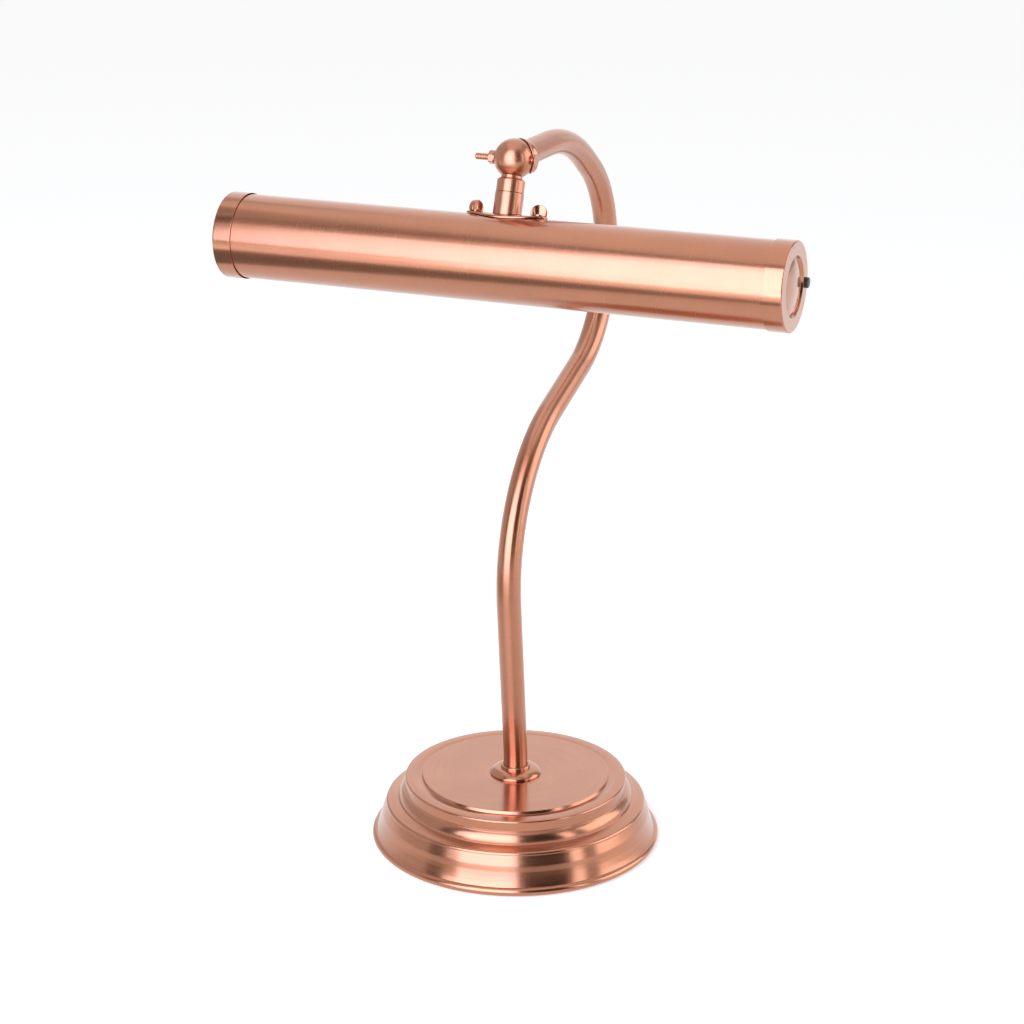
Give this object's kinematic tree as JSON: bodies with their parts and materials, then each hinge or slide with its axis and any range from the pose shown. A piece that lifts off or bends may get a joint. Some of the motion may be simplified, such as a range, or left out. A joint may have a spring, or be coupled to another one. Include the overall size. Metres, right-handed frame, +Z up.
{
  "type": "piano lamp",
  "caption": "Table lamp with a round stepped base, a swan-neck stem, a ball knuckle and a level tubular shade that tilts and swivels.",
  "frame": {"origin": "centre of the felt face under the base, on the table", "axes": "+Z up, +X along the shade to the end with the switch, -Y the front, where the shade hangs"},
  "size_m": [0.3524, 0.2483, 0.4425],
  "materials": {
    "copper_plated_steel": "satin brushed copper",
    "copper_plated_brass": "satin brushed copper",
    "iron_casting": "as cast",
    "zinc_plated_steel": "bright zinc",
    "black_felt": "felt",
    "brass_parts": "bright",
    "black_rubber": "matt",
    "cream_moulding": "moulded",
    "lead_sheath": "smooth",
    "white_porcelain": "glazed",
    "lamp_cap_metal": "bright",
    "clear_glass": "clear",
    "filament_wire": "wire",
    "black_moulding": "moulded",
    "black_button": "satin gloss"
  },
  "bodies": {
    "stand": {"base_shell": "copper_plated_steel", "base_weight": "iron_casting", "base_plate": "zinc_plated_steel", "plate_screws": "zinc_plated_steel", "felt_pad": "black_felt", "stem_collar": "copper_plated_steel", "stem_tube": "copper_plated_steel", "stem_bush": "brass_parts", "stem_nipple": "zinc_plated_steel", "stem_washer": "zinc_plated_steel", "stem_nut": "zinc_plated_steel", "cable_grommet": "black_rubber", "terminal_block": "cream_moulding", "terminal_screws": "brass_parts", "cord_clamp": "cream_moulding", "block_screws": "zinc_plated_steel", "clamp_screws": "zinc_plated_steel", "earth_tag": "brass_parts", "earth_screw": "zinc_plated_steel", "stem_lead": "lead_sheath", "arm_cup": "copper_plated_brass", "pivot_bolt": "copper_plated_brass", "pivot_washer": "copper_plated_brass", "pivot_nut": "copper_plated_brass"},
    "knuckle": {"knuckle_ball": "copper_plated_brass", "swivel_nipple": "zinc_plated_steel", "swivel_washer": "zinc_plated_steel", "swivel_nut": "zinc_plated_steel"},
    "shade": {"neck_sleeve": "copper_plated_brass", "saddle_plate": "copper_plated_steel", "clamp_bar": "zinc_plated_steel", "shade_tube": "copper_plated_steel", "end_cap_left": "copper_plated_steel", "end_cap_right": "copper_plated_steel", "lampholder_bracket": "zinc_plated_steel", "holder_nipples": "zinc_plated_steel", "holder_nuts": "zinc_plated_steel", "lampholder_left": "white_porcelain", "lampholder_right": "white_porcelain", "bulb_cap_left": "lamp_cap_metal", "bulb_cap_right": "lamp_cap_metal", "bulb_glass_left": "clear_glass", "bulb_glass_right": "clear_glass", "filament_left": "filament_wire", "filament_right": "filament_wire", "switch_body": "black_moulding", "switch_lead": "lead_sheath", "lamp_leads": "lead_sheath"},
    "thumb_left": {"thumb_screw_left": "copper_plated_brass"},
    "thumb_right": {"thumb_screw_right": "copper_plated_brass"},
    "push_button": {"switch_button": "black_button"}
  },
  "joints": [
    {"name": "head_tilt", "type": "hinge", "parent": "stand", "child": "knuckle", "pos_m": [0, -0.00444, 0.42961], "axis": [1, 0, 0], "range_deg": [-45, 35]},
    {"name": "shade_swivel", "type": "hinge", "parent": "knuckle", "child": "shade", "pos_m": [0, -0.01258, 0.40597], "axis": [0, 0.3256, 0.9455], "range_deg": [-60, 60]},
    {"name": "thumb_left_turn", "type": "hinge", "parent": "shade", "child": "thumb_left", "pos_m": [-0.0195, -0.01463, 0.40001], "axis": [0, 0.3256, 0.9455], "range_deg": [-180, 180]},
    {"name": "thumb_right_turn", "type": "hinge", "parent": "shade", "child": "thumb_right", "pos_m": [0.0195, -0.01463, 0.40001], "axis": [0, 0.3256, 0.9455], "range_deg": [-180, 180]},
    {"name": "button_push", "type": "slide", "parent": "shade", "child": "push_button", "axis": [-1, 0, 0], "range_m": [0, 0.0015], "stiffness_N_per_m": 400, "springref_m": -0.0005}
  ]
}
